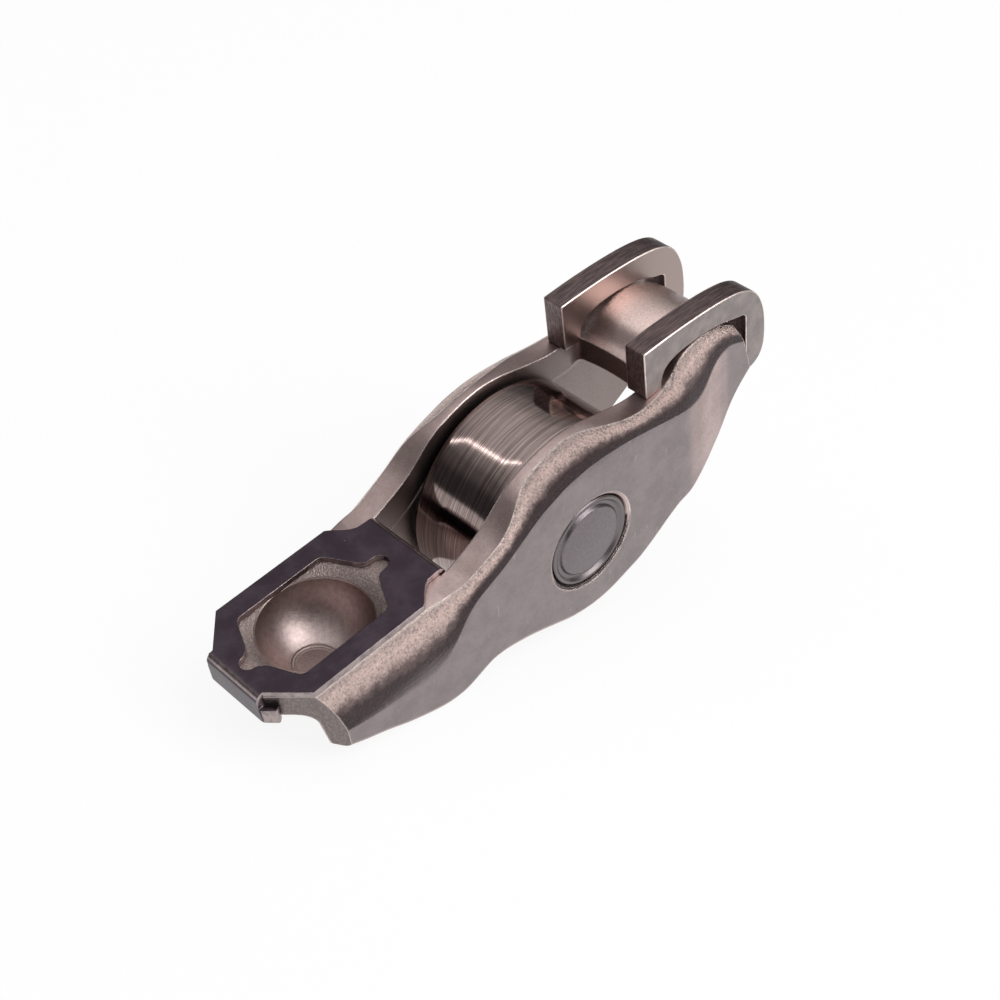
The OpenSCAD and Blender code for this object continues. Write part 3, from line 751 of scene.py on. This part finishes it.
def guide_material():
    """Dark rolled tops, lighter sheared faces, inner faces lightened with painted light, and rims lightened
    partly by wear, partly by a painted highlight.
    """
    n = Nodes("guide_steel")
    across = n.size(n.split(n.lever_normal())[1])
    out = n.size(n.split(n.mm)[1])
    side = n.ramp(across, 0.6, 0.95)
    speck = n.noise(7.0, 4, 0.7)
    cloud = n.noise(0.7, 3, 0.6)
    streak = n.noise(1.0, 4, 0.7, (0.45, 6.0, 2.0))
    edge, round_normal = n.edge(0.12, 0.03, 0.25)
    # Rims and edges: partly worn bare steel, partly a painted highlight.
    rim = n.times(n.ramp(across, 0.1, 0.3), n.ramp(across, 0.99, 0.9))
    edge = n.times(n.math("MAXIMUM", edge, rim), n.ramp(cloud, 0.3, 0.5, 0.6, 1.0))
    top = n.patchy(streak, 0.38, 0.66, (0.10, 0.075, 0.075), (0.24, 0.175, 0.17))
    top = n.mix(n.times(n.ramp(speck, 0.5, 0.7), 0.6), top, (0.07, 0.055, 0.058))
    face = n.patchy(cloud, 0.35, 0.7, (0.25, 0.22, 0.215), (0.34, 0.29, 0.28))
    # The inner faces are painted lighter than the outer ones, standing in for the light they catch.
    face = n.mix(n.ramp(out, GUIDE_Y + 0.3, GUIDE_Y + 0.1), face, (0.38, 0.30, 0.28))
    base = n.mix(edge, n.mix(side, top, face), WORN_AND_HIGHLIT_EDGE)
    rough = n.blend(side, n.ramp(speck, 0.4, 0.7, 0.46, 0.34), 0.34)
    normal = n.bump(n.math("ADD", n.times(speck, 0.7), streak), 0.016, round_normal)
    return n.metal(base, rough, normal)


def roller_material():
    """Grinding marks run round the roller, so the noise is drawn out everywhere but across its width."""
    n = Nodes("ground_roller")
    lines = n.noise(1.0, 4, 0.75, (0.10, 12.0, 0.10))
    track = n.noise(1.0, 3, 0.7, (0.22, 3.2, 0.22))
    edge, round_normal = n.edge(0.1, 0.03, 0.25)
    base = n.patchy(lines, 0.36, 0.66, (0.17, 0.128, 0.12), (0.44, 0.345, 0.325))
    base = n.mix(n.times(n.ramp(track, 0.5, 0.7), 0.5), base, (0.2, 0.16, 0.15))
    # Edges lightened partly by wear, partly by a painted highlight.
    base = n.mix(n.times(edge, 0.6), base, (0.7, 0.62, 0.58))
    return n.metal(base, 0.11, round_normal)


def axle_material():
    n = Nodes("staked_axle")
    speck = n.noise(5.0, 4, 0.7)
    edge, round_normal = n.edge(0.08, 0.02, 0.2)
    lip = n.ramp(n.away(AXLE, (1, 0, 1)), 3.2, 3.5)
    base = n.patchy(speck, 0.4, 0.7, (0.19, 0.165, 0.172), (0.24, 0.21, 0.22))
    base = n.mix(lip, base, (0.2, 0.175, 0.18))
    # Edges lightened partly by wear, partly by a painted highlight.
    base = n.mix(n.times(edge, 0.7), base, (0.7, 0.64, 0.62))
    normal = n.bump(n.noise(14.0, 3, 0.6), 0.006, round_normal)
    return n.metal(base, n.blend(speck, 0.3, 0.42), normal)


def needle_material():
    n = Nodes("needle_steel")
    lines = n.noise(1.0, 3, 0.6, (2.0, 0.3, 2.0))
    return n.metal(n.mix(lines, (0.42, 0.42, 0.43), (0.6, 0.6, 0.61)), 0.14)


def clip_material():
    """Near black, with lighter sheared faces, edges lightened partly by wear, partly by a painted highlight,
    and white specks on its flat top.
    """
    n = Nodes("blackened_spring_steel")
    speck = n.noise(11.0, 3, 0.7)
    edge, round_normal = n.edge(0.09, 0.04, 0.3)
    nx, _, nz = n.split(n.lever_normal())
    sheared = n.times(n.ramp(nz, 0.97, 0.85), n.ramp(n.size(nx), 0.92, 0.85))
    base = n.patchy(n.noise(0.5, 4, 0.6), 0.35, 0.7, (0.05, 0.036, 0.047), (0.075, 0.055, 0.069))
    base = n.mix(n.times(sheared, n.ramp(n.noise(1.5, 3, 0.6), 0.3, 0.6, 0.5, 1.0)), base, (0.4, 0.33, 0.325))
    base = n.mix(n.times(n.dust(0.3, 0.07), n.ramp(nz, 0.95, 0.99)), base, (0.95, 0.95, 0.95))
    # Edges lightened partly by wear, partly by a painted highlight.
    base = n.mix(n.times(edge, n.ramp(n.noise(2.0, 3, 0.6), 0.35, 0.6, 0.3, 0.95)), base, (0.55, 0.46, 0.45))
    normal = n.bump(speck, 0.004, round_normal)
    return n.metal(base, n.ramp(speck, 0.3, 0.7, 0.26, 0.36), normal)


def floor_material():
    """White to the camera and in reflections, and still matte enough to keep the part's shadow."""
    n = Nodes("studio_floor")
    path = n.add("ShaderNodeLightPath")
    mirrored = n.math("MAXIMUM", path.outputs["Is Glossy Ray"], path.outputs["Is Transmission Ray"])
    seen = n.math("MAXIMUM", path.outputs["Is Camera Ray"], mirrored)
    glow = n.add("ShaderNodeEmission")
    glow.inputs["Strength"].default_value = 1.0
    matte = n.add("ShaderNodeBsdfDiffuse")
    matte.inputs["Color"].default_value = (0.9, 0.9, 0.9, 1)
    both = n.add("ShaderNodeMixShader")
    n.link(n.times(seen, 0.9), both.inputs[0])
    n.link(matte.outputs[0], both.inputs[1])
    n.link(glow.outputs[0], both.inputs[2])
    n.link(both.outputs[0], n.out.inputs[0])
    return n.mat


# Studio

FLOOR_HALF = 30
# Grey of the room by the height of the direction, 0 level and 1 straight up: pale at the horizon, where the
# floor ends, dark above it and lighter overhead, so that steel shows dark bands beside bright ones
ROOM = ((0.0, 0.9), (1.0, 1.3), (0.015, 0.9), (0.04, 0.06), (0.3, 0.07), (0.5, 0.2), (0.65, 0.45),
        (0.8, 0.88), (0.9, 1.2))
LAMP_DISTANCE = 0.45
# The photograph's viewing point, in the lever's own axes: angles in degrees, place in millimetres
AZIMUTH, ELEVATION, ROLL = -38.194, 46.006, -8.166
EYE = (-42.590, -78.308, 101.707)
LENS, SENSOR = 64.78, 36


def build_floor():
    mesh = bpy.data.meshes.new("floor")
    h = FLOOR_HALF
    mesh.from_pydata([(-h, -h, 0), (h, -h, 0), (h, h, 0), (-h, h, 0)], [], [(0, 1, 2, 3)])
    mesh.materials.append(floor_material())
    floor = bpy.data.objects.new("floor", mesh)
    bpy.context.scene.collection.objects.link(floor)


def build_room():
    world = bpy.data.worlds.new("studio")
    bpy.context.scene.world = world
    world.use_nodes = True
    nodes, links = world.node_tree.nodes, world.node_tree.links
    direction = nodes.new("ShaderNodeTexCoord")
    height = nodes.new("ShaderNodeSeparateXYZ")
    shade = nodes.new("ShaderNodeValToRGB")
    shade.color_ramp.interpolation = "EASE"
    fill_ramp(shade.color_ramp, [(at, (grey, grey, grey)) for at, grey in ROOM])
    links.new(direction.outputs["Generated"], height.inputs[0])
    links.new(height.outputs["Z"], shade.inputs[0])
    links.new(shade.outputs[0], nodes["Background"].inputs["Color"])


def soft_box(name, toward, size, radiance):
    """A soft box of the given radiance, in the direction (x, y, z) seen from the part."""
    light = bpy.data.lights.new(name, "AREA")
    light.shape = "RECTANGLE"
    light.size, light.size_y = size
    light.energy = radiance * math.pi * size[0] * size[1]
    obj = bpy.data.objects.new(name, light)
    bpy.context.scene.collection.objects.link(obj)
    way = Vector(toward).normalized()
    obj.location = way * LAMP_DISTANCE + Vector((0, 0, 0.01))
    obj.rotation_euler = way.to_track_quat("Z", "Y").to_euler()


def build_camera():
    azimuth, elevation, roll = (math.radians(v) for v in (AZIMUTH, ELEVATION, ROLL))
    back = Vector((math.sin(azimuth) * math.cos(elevation), -math.cos(azimuth) * math.cos(elevation),
                   math.sin(elevation)))
    level = Vector((math.cos(azimuth), math.sin(azimuth), 0))
    upright = back.cross(level)
    right = math.cos(roll) * level + math.sin(roll) * upright
    up = -math.sin(roll) * level + math.cos(roll) * upright
    turn = Matrix.Rotation(-PITCH, 3, "Y")
    basis = Matrix((turn @ right, turn @ up, turn @ back)).transposed().to_4x4()
    data = bpy.data.cameras.new("camera")
    data.sensor_width = SENSOR
    data.lens = LENS
    data.clip_start = 0.005
    camera = bpy.data.objects.new("camera", data)
    bpy.context.scene.collection.objects.link(camera)
    camera.matrix_world = Matrix.Translation(TO_FRAME @ Vector(EYE)) @ basis
    bpy.context.scene.camera = camera


build_lever(lever_material())
guide_steel = guide_material()
build_guide("guide_plate_near", -1, "guide_near", ARCH_NEAR, guide_steel)
build_guide("guide_plate_far", 1, "guide_far", ARCH_FAR, guide_steel)
build_clip(clip_material())
build_roller(roller_material())
build_axle(axle_material())
dress_needles(needle_material())

build_floor()
build_room()
soft_box("key", (0.254, -0.698, 0.669), (0.30, 0.46), 3.4)
soft_box("strip", (-0.42, 0.57, 0.71), (0.013, 0.20), 6.0)
build_camera()
bpy.context.scene.view_settings.view_transform = "Standard"
